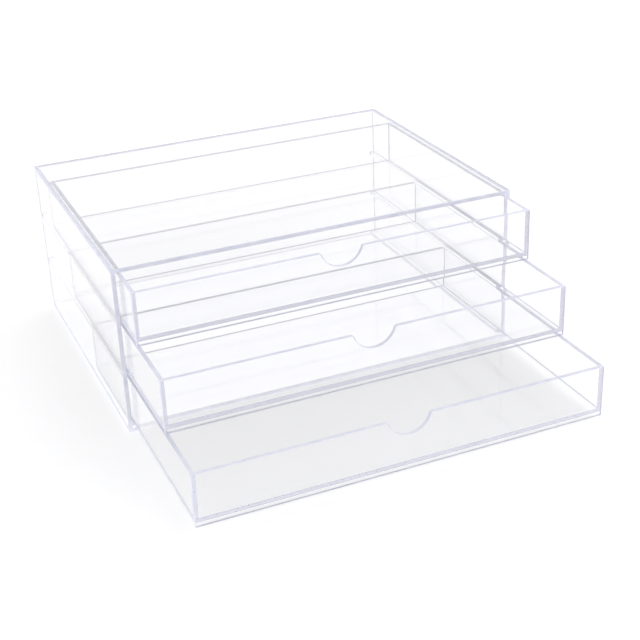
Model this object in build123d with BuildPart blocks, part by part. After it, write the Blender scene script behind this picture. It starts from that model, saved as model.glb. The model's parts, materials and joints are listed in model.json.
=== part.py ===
"""Letter tray stack: a clear acrylic case with three pull-out drawers.

The case is cemented from five flat sheets and carries three pairs of rails. Each drawer
is cemented from five flat sheets and slides on one pair of rails. Sizes are millimetres.
The origin is the middle of the case's footprint, on the surface that it stands on.
+X is to the right, the drawers come out towards -Y and +Z is up.
"""
import os

from build123d import *

# What the drawers are made to hold: the letter format, long edge across the front
letter_width = 279.4
letter_depth = 215.9
spare_width = 15.0
spare_depth = 7.6

# Sheet thicknesses
case_sheet = 3.0
drawer_sheet = 3.0

# Drawer, measured from the underside of its floor to the rim of its walls
drawer_height = 36.6
front_lip = 2.5
rim_round = 0.5

# Thumb notch in the middle of each drawer front
notch_radius = 16.0
notch_depth = 12.5
notch_corner_round = 2.0

# Rails cemented to the case sides
rail_height = 3.0
rail_width = 4.5

# Running clearances
side_gap = 1.0
back_gap = 1.5
glide_gap = 0.3
head_gap = 0.3
rail_end_gap = 0.5

# How far each drawer stands open
top_pull_length = 35.0
middle_pull_length = 85.0
bottom_pull_length = 136.0

# Sizes worked out from the ones above
drawer_width = letter_width + spare_width + 2 * drawer_sheet
drawer_length = letter_depth + spare_depth + 2 * drawer_sheet
bay_width = drawer_width + 2 * side_gap
bay_depth = drawer_length + back_gap
bay_pitch = rail_height + glide_gap + drawer_height + head_gap
side_height = 3 * bay_pitch
case_width = bay_width + 2 * case_sheet
case_depth = bay_depth + case_sheet
case_front = -case_depth / 2
case_back = case_depth / 2
rail_front = case_front + drawer_sheet + rail_end_gap
rail_back = case_back - case_sheet

os.makedirs("parts", exist_ok=True)


def finish(piece, node):
    """Label a finished piece and write it under its node name."""
    piece.part.label = node
    export_step(piece.part, f"parts/{node}.step")


def flat_sheet(length_x, length_y):
    """Sketch a rectangle whose middle lies on the sketch plane's origin."""
    return Rectangle(length_x, length_y)


def case_cover(node, height):
    """Floor or roof of the case: one sheet that covers the whole footprint."""
    with BuildPart() as cover:
        with BuildSketch(Plane.XY.offset(height)):
            flat_sheet(case_width, case_depth)
        extrude(amount=case_sheet)
    finish(cover, node)


def case_side(node, outer_face):
    """Side of the case, between the floor and the roof."""
    with BuildPart() as side:
        with BuildSketch(Plane.YZ.offset(outer_face)):
            with Locations((0, case_sheet)):
                Rectangle(case_depth, side_height, align=(Align.CENTER, Align.MIN))
        extrude(amount=case_sheet)
    finish(side, node)


def case_back_sheet(node):
    """Back of the case, between the two sides."""
    with BuildPart() as back:
        with BuildSketch(Plane.XZ.offset(-case_back)):
            with Locations((0, case_sheet)):
                Rectangle(bay_width, side_height, align=(Align.CENTER, Align.MIN))
        extrude(amount=case_sheet)
    finish(back, node)


def rail(node, inner_face, underside):
    """Square strip that carries one edge of a drawer's floor."""
    with BuildPart() as strip:
        with BuildSketch(Plane.XY.offset(underside)):
            with Locations((inner_face, rail_front)):
                Rectangle(rail_width, rail_back - rail_front, align=(Align.MIN, Align.MIN))
        extrude(amount=rail_height)
    finish(strip, node)


def drawer(level, underside, pull):
    """Five cemented sheets: floor, two sides, back and a front with a thumb notch."""
    front_face = case_front - pull
    front_back_face = front_face + drawer_sheet
    rear_face = front_face + drawer_length
    floor_top = underside + drawer_sheet
    rim = underside + drawer_height
    wall_height = drawer_height - drawer_sheet
    floor_length = drawer_length - drawer_sheet
    side_length = floor_length - drawer_sheet
    outer_x = drawer_width / 2

    with BuildPart() as floor:
        with BuildSketch(Plane.XY.offset(underside)):
            with Locations((0, front_back_face)):
                Rectangle(drawer_width, floor_length, align=(Align.CENTER, Align.MIN))
        extrude(amount=drawer_sheet)
    finish(floor, f"{level}_drawer_floor")

    for hand, left_face in (("left", -outer_x), ("right", outer_x - drawer_sheet)):
        with BuildPart() as side:
            with BuildSketch(Plane.YZ.offset(left_face)):
                with Locations((front_back_face, floor_top)):
                    Rectangle(side_length, wall_height, align=(Align.MIN, Align.MIN))
            extrude(amount=drawer_sheet)
            fillet(side.edges().filter_by(Axis.Y).group_by(Axis.Z)[-1], rim_round)
        finish(side, f"{level}_drawer_{hand}_side")

    with BuildPart() as back:
        with BuildSketch(Plane.XZ.offset(-rear_face)):
            with Locations((0, floor_top)):
                Rectangle(drawer_width, wall_height, align=(Align.CENTER, Align.MIN))
        extrude(amount=drawer_sheet)
        fillet(back.edges().filter_by(Axis.X).group_by(Axis.Z)[-1], rim_round)
    finish(back, f"{level}_drawer_back")

    with BuildPart() as front:
        with BuildSketch(Plane.XZ.offset(-front_back_face)) as outline:
            with Locations((0, underside - front_lip)):
                Rectangle(drawer_width, drawer_height + front_lip, align=(Align.CENTER, Align.MIN))
            with Locations((0, rim - notch_depth + notch_radius)):
                Circle(notch_radius, mode=Mode.SUBTRACT)
            notch_corners = outline.vertices().group_by(Axis.Z)[-1].sort_by(Axis.X)[1:-1]
            fillet(notch_corners, notch_corner_round)
        extrude(amount=drawer_sheet)
    finish(front, f"{level}_drawer_front")


case_cover("case_floor", 0)
case_cover("case_roof", case_sheet + side_height)
case_side("case_left_side", -case_width / 2)
case_side("case_right_side", bay_width / 2)
case_back_sheet("case_back")

for bay, (level, pull) in enumerate(
    (("bottom", bottom_pull_length), ("middle", middle_pull_length), ("top", top_pull_length))
):
    rail_underside = case_sheet + bay * bay_pitch
    rail(f"{level}_rail_left", -bay_width / 2, rail_underside)
    rail(f"{level}_rail_right", bay_width / 2 - rail_width, rail_underside)
    drawer(level, rail_underside + rail_height + glide_gap, pull)
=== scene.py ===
"""Clear acrylic letter tray stack: one welded shell for the case and one for each drawer.

Metres, in the row frame: +X right, the drawers come out towards -Y, +Z up.
"""

import json
from itertools import combinations
from math import atan2, cos, radians, sin, sqrt

import bmesh
import bpy
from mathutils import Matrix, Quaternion, Vector


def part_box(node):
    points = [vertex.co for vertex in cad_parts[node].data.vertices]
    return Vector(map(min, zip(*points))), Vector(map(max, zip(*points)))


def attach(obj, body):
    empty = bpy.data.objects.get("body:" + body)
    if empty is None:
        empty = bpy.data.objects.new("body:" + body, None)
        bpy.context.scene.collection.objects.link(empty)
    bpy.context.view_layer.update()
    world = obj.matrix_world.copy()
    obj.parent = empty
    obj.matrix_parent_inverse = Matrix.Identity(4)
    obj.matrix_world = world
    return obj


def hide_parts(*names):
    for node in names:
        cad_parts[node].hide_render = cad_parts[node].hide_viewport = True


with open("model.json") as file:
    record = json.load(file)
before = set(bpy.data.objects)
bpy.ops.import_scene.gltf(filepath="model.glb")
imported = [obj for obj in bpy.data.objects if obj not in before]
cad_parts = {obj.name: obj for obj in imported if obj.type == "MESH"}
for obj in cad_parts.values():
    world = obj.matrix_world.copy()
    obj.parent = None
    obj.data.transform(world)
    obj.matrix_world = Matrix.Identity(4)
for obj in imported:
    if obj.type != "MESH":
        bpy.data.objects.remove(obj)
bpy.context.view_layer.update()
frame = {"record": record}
scene = bpy.context.scene
scene.view_settings.view_transform = "Standard"

MM = 0.001
SHEET = 3 * MM
ACRYLIC_IOR = 1.49
LEVELS = ("top", "middle", "bottom")

# Corners closer together than this are one corner
SAME = 0.01 * MM
# A face whose normal has this share along an axis looks along that axis
SQUARE_ON = 0.9
# Faces that meet at less than FLAT are one face. Edges over CORNER are eased, and over
# CREASE they shade as sharp.
FLAT = radians(1)
CORNER = radians(30)
CREASE = radians(20)

# The thumb notch in a drawer front
NOTCH_RADIUS = 16 * MM
NOTCH_DEPTH = 12.5 * MM
NOTCH_CORNER = 2 * MM
SHOULDER_STEPS = 5
BOWL_STEPS = 28

# The sawn edges are scraped, so their corners are eased, not sharp
EASE = 0.3 * MM

# The cement between two sheets, kept just inside the eased corners
FILM = 0.06 * MM
FILM_MARGIN = 0.12 * MM
SMALLEST_JOINT = 1 * MM

FLOOR_REACH = 6
LIGHT_BOUNCES = 96
FILM_LAYERS = 32


# ---------------------------------------------------------------- mesh helpers
def span(*nodes):
    """Lowest and highest corner of several solids together."""
    boxes = [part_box(n) for n in nodes]
    low = Vector([min(b[0][i] for b in boxes) for i in range(3)])
    high = Vector([max(b[1][i] for b in boxes) for i in range(3)])
    return low, high


def block(low, high):
    """A bmesh block from its two corners."""
    bm = bmesh.new()
    bmesh.ops.create_cube(bm, size=1)
    bmesh.ops.scale(bm, vec=high - low, verts=bm.verts)
    bmesh.ops.translate(bm, vec=(low + high) / 2, verts=bm.verts)
    return bm


def face_towards(bm, way):
    """The face whose normal points most nearly that way and that lies furthest out."""
    way = Vector(way)
    bm.normal_update()
    return max(
        bm.faces, key=lambda f: (round(f.normal.dot(way), 3), f.calc_center_median().dot(way))
    )


def hollow(bm, face, wall, depth):
    """Sinks a pocket into a face, leaving a wall all round it."""
    way = -face.normal * depth
    bmesh.ops.inset_region(bm, faces=[face], thickness=wall, use_even_offset=True)
    sunk = bmesh.ops.extrude_discrete_faces(bm, faces=[face])["faces"]
    bmesh.ops.translate(bm, vec=way, verts=sunk[0].verts)


def mesh_object(bm, name):
    """An object of this bmesh, which is freed."""
    mesh = bpy.data.meshes.new(name)
    bm.to_mesh(mesh)
    bm.free()
    thing = bpy.data.objects.new(name, mesh)
    scene.collection.objects.link(thing)
    return thing


def combine(base, others, operation):
    """Welds or cuts the other objects into the base and removes them."""
    for other in others:
        step = base.modifiers.new("weld", "BOOLEAN")
        step.operation = operation
        step.solver = "EXACT"
        step.object = other
    graph = bpy.context.evaluated_depsgraph_get()
    mesh = bpy.data.meshes.new_from_object(base.evaluated_get(graph))
    base.modifiers.clear()
    base.data = mesh
    for other in others:
        bpy.data.objects.remove(other)
    return base


def on_cut_edge(face, sheets):
    """True where a face is the sawn edge of its sheet, or the sawn end of its polished bar."""
    middle = face.calc_center_median()
    for low, high in sheets:
        if all(low[i] - 2 * SAME < middle[i] < high[i] + 2 * SAME for i in range(3)):
            thin, wide, long = sorted(range(3), key=lambda i: high[i] - low[i])
            if high[wide] - low[wide] < 2 * SHEET:
                return abs(face.normal[long]) > SQUARE_ON
            return abs(face.normal[thin]) < SQUARE_ON
    return False


def finish_shell(thing, sheets, seams, width):
    """Marks the sawn edges for their own finish, and eases every outward edge a little.

    A seam is an axis and a place on it, where one sheet's face goes over into the next one's.
    """
    bm = bmesh.new()
    bm.from_mesh(thing.data)
    bmesh.ops.remove_doubles(bm, verts=bm.verts, dist=SAME)
    bmesh.ops.dissolve_limit(
        bm, angle_limit=FLAT, verts=bm.verts, edges=bm.edges, delimit={"NORMAL"}
    )
    for axis, place in seams:
        across = Vector([place if i == axis else 0 for i in range(3)])
        bmesh.ops.bisect_plane(
            bm,
            geom=[*bm.verts, *bm.edges, *bm.faces],
            dist=SAME,
            plane_co=across,
            plane_no=[float(i == axis) for i in range(3)],
        )
    bmesh.ops.recalc_face_normals(bm, faces=bm.faces)
    bm.normal_update()
    for face in bm.faces:
        face.material_index = int(on_cut_edge(face, sheets))
    outward = [e for e in bm.edges if e.is_convex and e.calc_face_angle(0) > CORNER]
    eased = bmesh.ops.bevel(
        bm,
        geom=outward,
        offset=width,
        offset_type="OFFSET",
        affect="EDGES",
        segments=2,
        profile=0.5,
        material=-1,
        clamp_overlap=True,
    )["faces"]
    # The easing beside a sawn face is sawn too, and then the rest of its width
    strips = set(eased)
    for face in eased:
        beside = {f for e in face.edges for f in e.link_faces} - strips
        if any(f.material_index for f in beside):
            face.material_index = 1
    for face in eased:
        beside = {f for e in face.edges if e.calc_length() > width for f in e.link_faces}
        if any(f.material_index for f in beside):
            face.material_index = 1
    for face in bm.faces:
        face.smooth = True
    bm.to_mesh(thing.data)
    bm.free()
    thing.data.set_sharp_from_angle(angle=CREASE)


def cement_films(name, sheets):
    """A thin film wherever one sheet's sawn edge is cemented to another sheet."""
    whole = bmesh.new()
    for (low_a, high_a), (low_b, high_b) in combinations(sheets, 2):
        low = Vector([max(a, b) for a, b in zip(low_a, low_b)])
        high = Vector([min(a, b) for a, b in zip(high_a, high_b)])
        shared = [i for i in range(3) if high[i] - low[i] > SMALLEST_JOINT]
        flat = [i for i in range(3) if abs(high[i] - low[i]) < SAME]
        if len(shared) != 2 or len(flat) != 1:
            continue
        for i in shared:
            low[i] += FILM_MARGIN
            high[i] -= FILM_MARGIN
        low[flat[0]] -= FILM / 2
        high[flat[0]] += FILM / 2
        grown = bmesh.ops.create_cube(whole, size=1)["verts"]
        bmesh.ops.scale(whole, vec=high - low, verts=grown)
        bmesh.ops.translate(whole, vec=(low + high) / 2, verts=grown)
    return mesh_object(whole, name)


# ---------------------------------------------------------------- the case
def rail_bar(node):
    """A rail, run a little into the sheets that it is cemented to."""
    low, high = span(node)
    floor_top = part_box("case_floor")[1][2]
    if low.x < 0:
        low.x -= SHEET / 2
    else:
        high.x += SHEET / 2
    high.y += SHEET / 2
    if low.z < floor_top + SAME:
        low.z -= SHEET / 2
    return mesh_object(block(low, high), "bar")


def make_case():
    """An open box with the six rails welded in."""
    nodes = frame["record"]["behaviour"]["bodies"]["case"]
    low, high = span("case_floor", "case_roof")
    bm = block(low, high)
    inner_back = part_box("case_back")[0][1]
    hollow(bm, face_towards(bm, (0, -1, 0)), SHEET, inner_back - low.y)
    case = mesh_object(bm, "case_shell")
    combine(case, [rail_bar(n) for n in nodes if "rail" in n], "UNION")
    sheets = [span(n) for n in nodes]
    seams = [
        (2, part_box("case_floor")[1][2]),
        (2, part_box("case_roof")[0][2]),
        (0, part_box("case_left_side")[1][0]),
        (0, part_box("case_right_side")[0][0]),
    ]
    finish_shell(case, sheets, seams, EASE)
    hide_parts(*nodes)
    return case, cement_films("case_joints", [span(n) for n in nodes if "rail" not in n])


# ---------------------------------------------------------------- the drawers
def notch_cutter(front_low, front_high):
    """A plug with the notch's outline: two rounded shoulders and a round bowl."""
    rim = front_high.z
    rise = NOTCH_RADIUS - NOTCH_DEPTH
    reach = sqrt((NOTCH_RADIUS + NOTCH_CORNER) ** 2 - (rise + NOTCH_CORNER) ** 2)
    turn = atan2(reach, rise + NOTCH_CORNER)
    start = front_low.y - SHEET
    bm = bmesh.new()
    tip = bm.verts.new((-reach, start, rim))
    first = tip
    for middle, angle, steps in (
        (Vector((-reach, start, rim - NOTCH_CORNER)), turn, SHOULDER_STEPS),
        (Vector((0, start, rim + rise)), -2 * turn, BOWL_STEPS),
        (Vector((reach, start, rim - NOTCH_CORNER)), turn, SHOULDER_STEPS),
    ):
        swept = bmesh.ops.spin(
            bm, geom=[tip], cent=middle, axis=(0, 1, 0), angle=angle, steps=steps
        )
        tip = [g for g in swept["geom_last"] if isinstance(g, bmesh.types.BMVert)][0]
    over = [bm.verts.new((v.co.x, start, rim + SHEET)) for v in (tip, first)]
    bm.edges.new((tip, over[0]))
    bm.edges.new(over)
    bm.edges.new((over[1], first))
    bmesh.ops.remove_doubles(bm, verts=bm.verts, dist=SAME / 10)
    plate = bmesh.ops.contextual_create(bm, geom=bm.edges[:])["faces"]
    deep = bmesh.ops.extrude_face_region(bm, geom=plate)["geom"]
    bmesh.ops.translate(
        bm, vec=(0, 3 * SHEET, 0), verts=[g for g in deep if isinstance(g, bmesh.types.BMVert)]
    )
    bmesh.ops.recalc_face_normals(bm, faces=bm.faces)
    return mesh_object(bm, "notch")


def make_drawer(level):
    """An open tray whose front hangs below its floor as a lip, and has the thumb notch."""
    body = f"{level}_drawer"
    nodes = frame["record"]["behaviour"]["bodies"][body]
    low, high = span(*nodes)
    front_low, front_high = span(f"{body}_front")
    floor_low, floor_high = span(f"{body}_floor")
    bm = block(Vector((low.x, low.y, floor_low.z)), high)
    hollow(bm, face_towards(bm, (0, 0, 1)), SHEET, high.z - floor_high.z)
    underside = face_towards(bm, (0, 0, -1))
    bmesh.ops.bisect_plane(
        bm,
        geom=[underside, *underside.edges, *underside.verts],
        plane_co=(0, front_high.y, 0),
        plane_no=(0, 1, 0),
    )
    bm.normal_update()
    strip = min(
        (f for f in bm.faces if f.normal.z < -SQUARE_ON), key=lambda f: f.calc_center_median().y
    )
    lip = bmesh.ops.extrude_discrete_faces(bm, faces=[strip])["faces"]
    bmesh.ops.translate(bm, vec=(0, 0, front_low.z - floor_low.z), verts=lip[0].verts)
    drawer = mesh_object(bm, f"{level}_drawer_shell")
    combine(drawer, [notch_cutter(front_low, front_high)], "DIFFERENCE")
    sheets = [span(n) for n in nodes]
    seams = [(2, floor_high.z), (1, front_high.y), (1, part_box(f"{body}_back")[0][1])]
    finish_shell(drawer, sheets, seams, EASE)
    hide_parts(*nodes)
    return drawer, cement_films(f"{level}_drawer_joints", sheets)


# ---------------------------------------------------------------- shader helpers
class Wire:
    """A socket that takes part in Python sums."""

    def __init__(self, tree, socket):
        self.tree, self.socket = tree, socket

    def _sum(self, operation, *values):
        return self.tree.add("ShaderNodeMath", {"operation": operation}, dict(enumerate(values)))

    def __add__(self, other):
        return self._sum("ADD", self, other)

    def __sub__(self, other):
        return self._sum("SUBTRACT", self, other)

    def __rsub__(self, other):
        return self._sum("SUBTRACT", other, self)

    def __mul__(self, other):
        return self._sum("MULTIPLY", self, other)

    __radd__ = __add__
    __rmul__ = __mul__


class Tree:
    """Adds nodes to a material's or the world's tree."""

    def __init__(self, owner):
        owner.use_nodes = True
        self.nodes, self.links = owner.node_tree.nodes, owner.node_tree.links
        self.nodes.clear()

    def add(self, kind, settings=None, sockets=None, out=0):
        node = self.nodes.new(kind)
        for name, value in (settings or {}).items():
            if name == "stops":
                ramp = node.color_ramp
                for stop, (place, colour) in zip(ramp.elements, value):
                    stop.position, stop.color = place, (*colour, 1)
                for place, colour in value[2:]:
                    ramp.elements.new(place).color = (*colour, 1)
            else:
                setattr(node, name, value)
        for name, value in (sockets or {}).items():
            if isinstance(value, Wire):
                self.links.new(value.socket, node.inputs[name])
            else:
                node.inputs[name].default_value = value
        return Wire(self, node.outputs[out]) if len(node.outputs) else node


def mapped(tree, scale):
    """Object coordinates, stretched along each axis."""
    place = tree.add("ShaderNodeTexCoord", out="Object")
    return tree.add("ShaderNodeMapping", {}, {"Vector": place, "Scale": scale})


# ---------------------------------------------------------------- finishes
def tint(tree):
    """The colour that a long way through the plastic takes on."""
    return tree.add(
        "ShaderNodeVolumeAbsorption", {}, {"Color": (0.85, 0.865, 0.93, 1), "Density": 4.0}
    )


def clear_acrylic():
    """Cast sheet: polished, with a slow ripple, faint wipe marks and hairline scratches."""
    mat = bpy.data.materials.new("polished_sheet")
    t = Tree(mat)
    ripple = t.add(
        "ShaderNodeTexNoise", {}, {"Vector": mapped(t, (1, 1, 1)), "Scale": 14, "Detail": 1}
    )
    wipe = t.add(
        "ShaderNodeTexNoise", {}, {"Vector": mapped(t, (1, 3, 3)), "Scale": 22, "Detail": 4}
    )
    hair = t.add(
        "ShaderNodeTexNoise", {}, {"Vector": mapped(t, (4, 260, 260)), "Scale": 1, "Detail": 2}
    )
    scratch = t.add(
        "ShaderNodeMapRange", {"clamp": True}, {0: hair, 1: 0.66, 2: 0.72, 3: 0.0, 4: 1.0}
    )
    rough = wipe * 0.012 + scratch * 0.03
    bump = t.add("ShaderNodeBump", {}, {"Height": ripple, "Strength": 0.008, "Distance": 0.001})
    shell = t.add(
        "ShaderNodeBsdfPrincipled",
        {},
        {
            "Base Color": (0.988, 0.988, 0.992, 1),
            "Roughness": rough,
            "IOR": ACRYLIC_IOR,
            "Transmission Weight": 1.0,
            "Normal": bump,
        },
    )
    t.add("ShaderNodeOutputMaterial", {}, {"Surface": shell, "Volume": tint(t)})
    return mat


def cut_edge():
    """Sawn and scraped edge: milky and finely grained, with a painted cool lavender glow."""
    mat = bpy.data.materials.new("sawn_edge")
    t = Tree(mat)
    grain = t.add(
        "ShaderNodeTexNoise", {}, {"Vector": mapped(t, (1, 1, 1)), "Scale": 240, "Detail": 2}
    )
    drift = t.add(
        "ShaderNodeTexNoise", {}, {"Vector": mapped(t, (1, 1, 1)), "Scale": 110, "Detail": 3}
    )
    colour = t.add(
        "ShaderNodeValToRGB",
        {"stops": ((0.34, (0.60, 0.61, 0.69)), (0.66, (0.74, 0.74, 0.81)))},
        {"Fac": drift},
    )
    bump = t.add("ShaderNodeBump", {}, {"Height": grain, "Strength": 0.1, "Distance": 0.0002})
    edge = t.add(
        "ShaderNodeBsdfPrincipled",
        {},
        {
            "Base Color": colour,
            "Roughness": 0.42 + grain * 0.15,
            "IOR": ACRYLIC_IOR,
            "Specular IOR Level": 0.1,
            "Transmission Weight": 0.18,
            # Painted light: this emission makes the sawn edge glow lavender, standing in for light
            # that the sheet carries to it
            "Emission Color": (0.70, 0.70, 0.80, 1),
            "Emission Strength": 0.30,
            "Normal": bump,
        },
    )
    t.add("ShaderNodeOutputMaterial", {}, {"Surface": edge, "Volume": tint(t)})
    return mat


def cement():
    """Solvent cement: a pale film with small gaps and bubbles, and a painted glow."""
    mat = bpy.data.materials.new("solvent_cement")
    t = Tree(mat)
    wick = t.add(
        "ShaderNodeTexNoise", {}, {"Vector": mapped(t, (1, 1, 1)), "Scale": 60, "Detail": 3}
    )
    bubble = t.add("ShaderNodeTexVoronoi", {}, {"Vector": mapped(t, (1, 1, 1)), "Scale": 350})
    gap = t.add(
        "ShaderNodeMapRange", {"clamp": True}, {0: bubble, 1: 0.1, 2: 0.22, 3: 0.25, 4: 0.0}
    )
    film = t.add(
        "ShaderNodeBsdfPrincipled",
        {},
        {
            "Base Color": (0.86, 0.86, 0.92, 1),
            "Roughness": 0.6,
            "Specular IOR Level": 0.0,
            # Painted light: this emission makes the film glow pale, standing in for light that
            # reaches the joint through the sheets
            "Emission Color": (0.70, 0.70, 0.76, 1),
            "Emission Strength": 0.32,
            "Alpha": 0.6 + wick * 0.25 - gap,
        },
    )
    t.add("ShaderNodeOutputMaterial", {}, {"Surface": film})
    return mat


def pale_floor():
    """A pale floor that keeps the stack's shadow and goes over into the white backdrop."""
    mat = bpy.data.materials.new("studio_floor")
    t = Tree(mat)
    cloud = t.add(
        "ShaderNodeTexNoise", {}, {"Vector": mapped(t, (1, 1, 1)), "Scale": 1.5, "Detail": 2}
    )
    paint = t.add(
        "ShaderNodeValToRGB",
        {"stops": ((0.3, (0.44, 0.44, 0.45)), (0.7, (0.46, 0.46, 0.465)))},
        {"Fac": cloud},
    )
    matt = t.add("ShaderNodeBsdfDiffuse", {}, {"Color": paint})
    # The lamps fade with the distance from the stack, so the floor's own white comes up there
    away = t.add(
        "ShaderNodeVectorMath", {"operation": "LENGTH"}, {0: mapped(t, (0.2, 0.2, 0.2))}, out="Value"
    )
    white = t.add(
        "ShaderNodeValToRGB",
        {"stops": ((0.12, (0.70, 0.70, 0.70)), (0.5, (0.9, 0.9, 0.9)))},
        {"Fac": away},
    )
    glow = t.add("ShaderNodeEmission", {}, {"Color": white, "Strength": 1.0})
    both = t.add("ShaderNodeAddShader", {}, {0: matt, 1: glow})
    t.add("ShaderNodeOutputMaterial", {}, {"Surface": both})
    return mat


# ---------------------------------------------------------------- studio
def make_camera():
    """Set from the stack's own right-angled corners in the photograph."""
    azimuth, elevation, roll = radians(-22.58), radians(26.49), radians(-2.35)
    back = Vector((sin(azimuth) * cos(elevation), -cos(azimuth) * cos(elevation), sin(elevation)))
    data = bpy.data.cameras.new("camera")
    data.sensor_width = 36
    data.lens = 72.26
    data.clip_start, data.clip_end = 0.05, 50
    camera = bpy.data.objects.new("camera", data)
    camera.rotation_mode = "QUATERNION"
    camera.location = (-0.3273, -0.8939, 0.4739)
    camera.rotation_quaternion = (-back).to_track_quat("-Z", "Y") @ Quaternion((0, 0, 1), roll)
    scene.collection.objects.link(camera)
    scene.camera = camera


def soft_box(name, place, size, watts, colour):
    """A broad lamp turned towards the stack."""
    data = bpy.data.lights.new(name, "AREA")
    data.shape = "RECTANGLE"
    data.size, data.size_y = size
    data.energy = watts
    data.color = colour
    lamp = bpy.data.objects.new(name, data)
    lamp.location = place
    lamp.rotation_mode = "QUATERNION"
    lamp.rotation_quaternion = (Vector((0, 0, 0.05)) - Vector(place)).to_track_quat("-Z", "Y")
    scene.collection.objects.link(lamp)


def make_studio():
    """Floor, a sky that is white low down and greyer overhead, and two broad lamps."""
    bm = bmesh.new()
    bmesh.ops.create_grid(bm, x_segments=1, y_segments=1, size=FLOOR_REACH)
    floor = mesh_object(bm, "studio_floor")
    floor.data.materials.append(pale_floor())

    world = bpy.data.worlds.new("studio")
    scene.world = world
    t = Tree(world)
    way = t.add("ShaderNodeTexCoord", out="Generated")
    height = t.add("ShaderNodeSeparateXYZ", {}, {0: way}, out="Z")
    sky = t.add(
        "ShaderNodeValToRGB",
        {"stops": ((0.35, (1, 1, 1)), (0.75, (0.5, 0.5, 0.52)))},
        {"Fac": height},
    )
    t.add(
        "ShaderNodeOutputWorld",
        {},
        {"Surface": t.add("ShaderNodeBackground", {}, {"Color": sky, "Strength": 1.0})},
    )
    soft_box("key", (0.5, 0.4, 1.7), (1.2, 1.0), 7, (1, 1, 1))
    soft_box("fill", (1.2, -0.6, 1.3), (0.8, 0.8), 3, (1, 1, 1))
    # Light runs the length of a sheet between its faces and out of its far edge
    scene.cycles.max_bounces = LIGHT_BOUNCES
    scene.cycles.transmission_bounces = LIGHT_BOUNCES
    scene.cycles.glossy_bounces = LIGHT_BOUNCES
    scene.cycles.transparent_max_bounces = FILM_LAYERS


make_camera()
make_studio()
polished, sawn, cemented = clear_acrylic(), cut_edge(), cement()
made = {"case": make_case(), **{f"{level}_drawer": make_drawer(level) for level in LEVELS}}
for body, (shell, joints) in made.items():
    for piece, finishes in ((shell, (polished, sawn)), (joints, (cemented,))):
        for finish in finishes:
            piece.data.materials.append(finish)
        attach(piece, body)
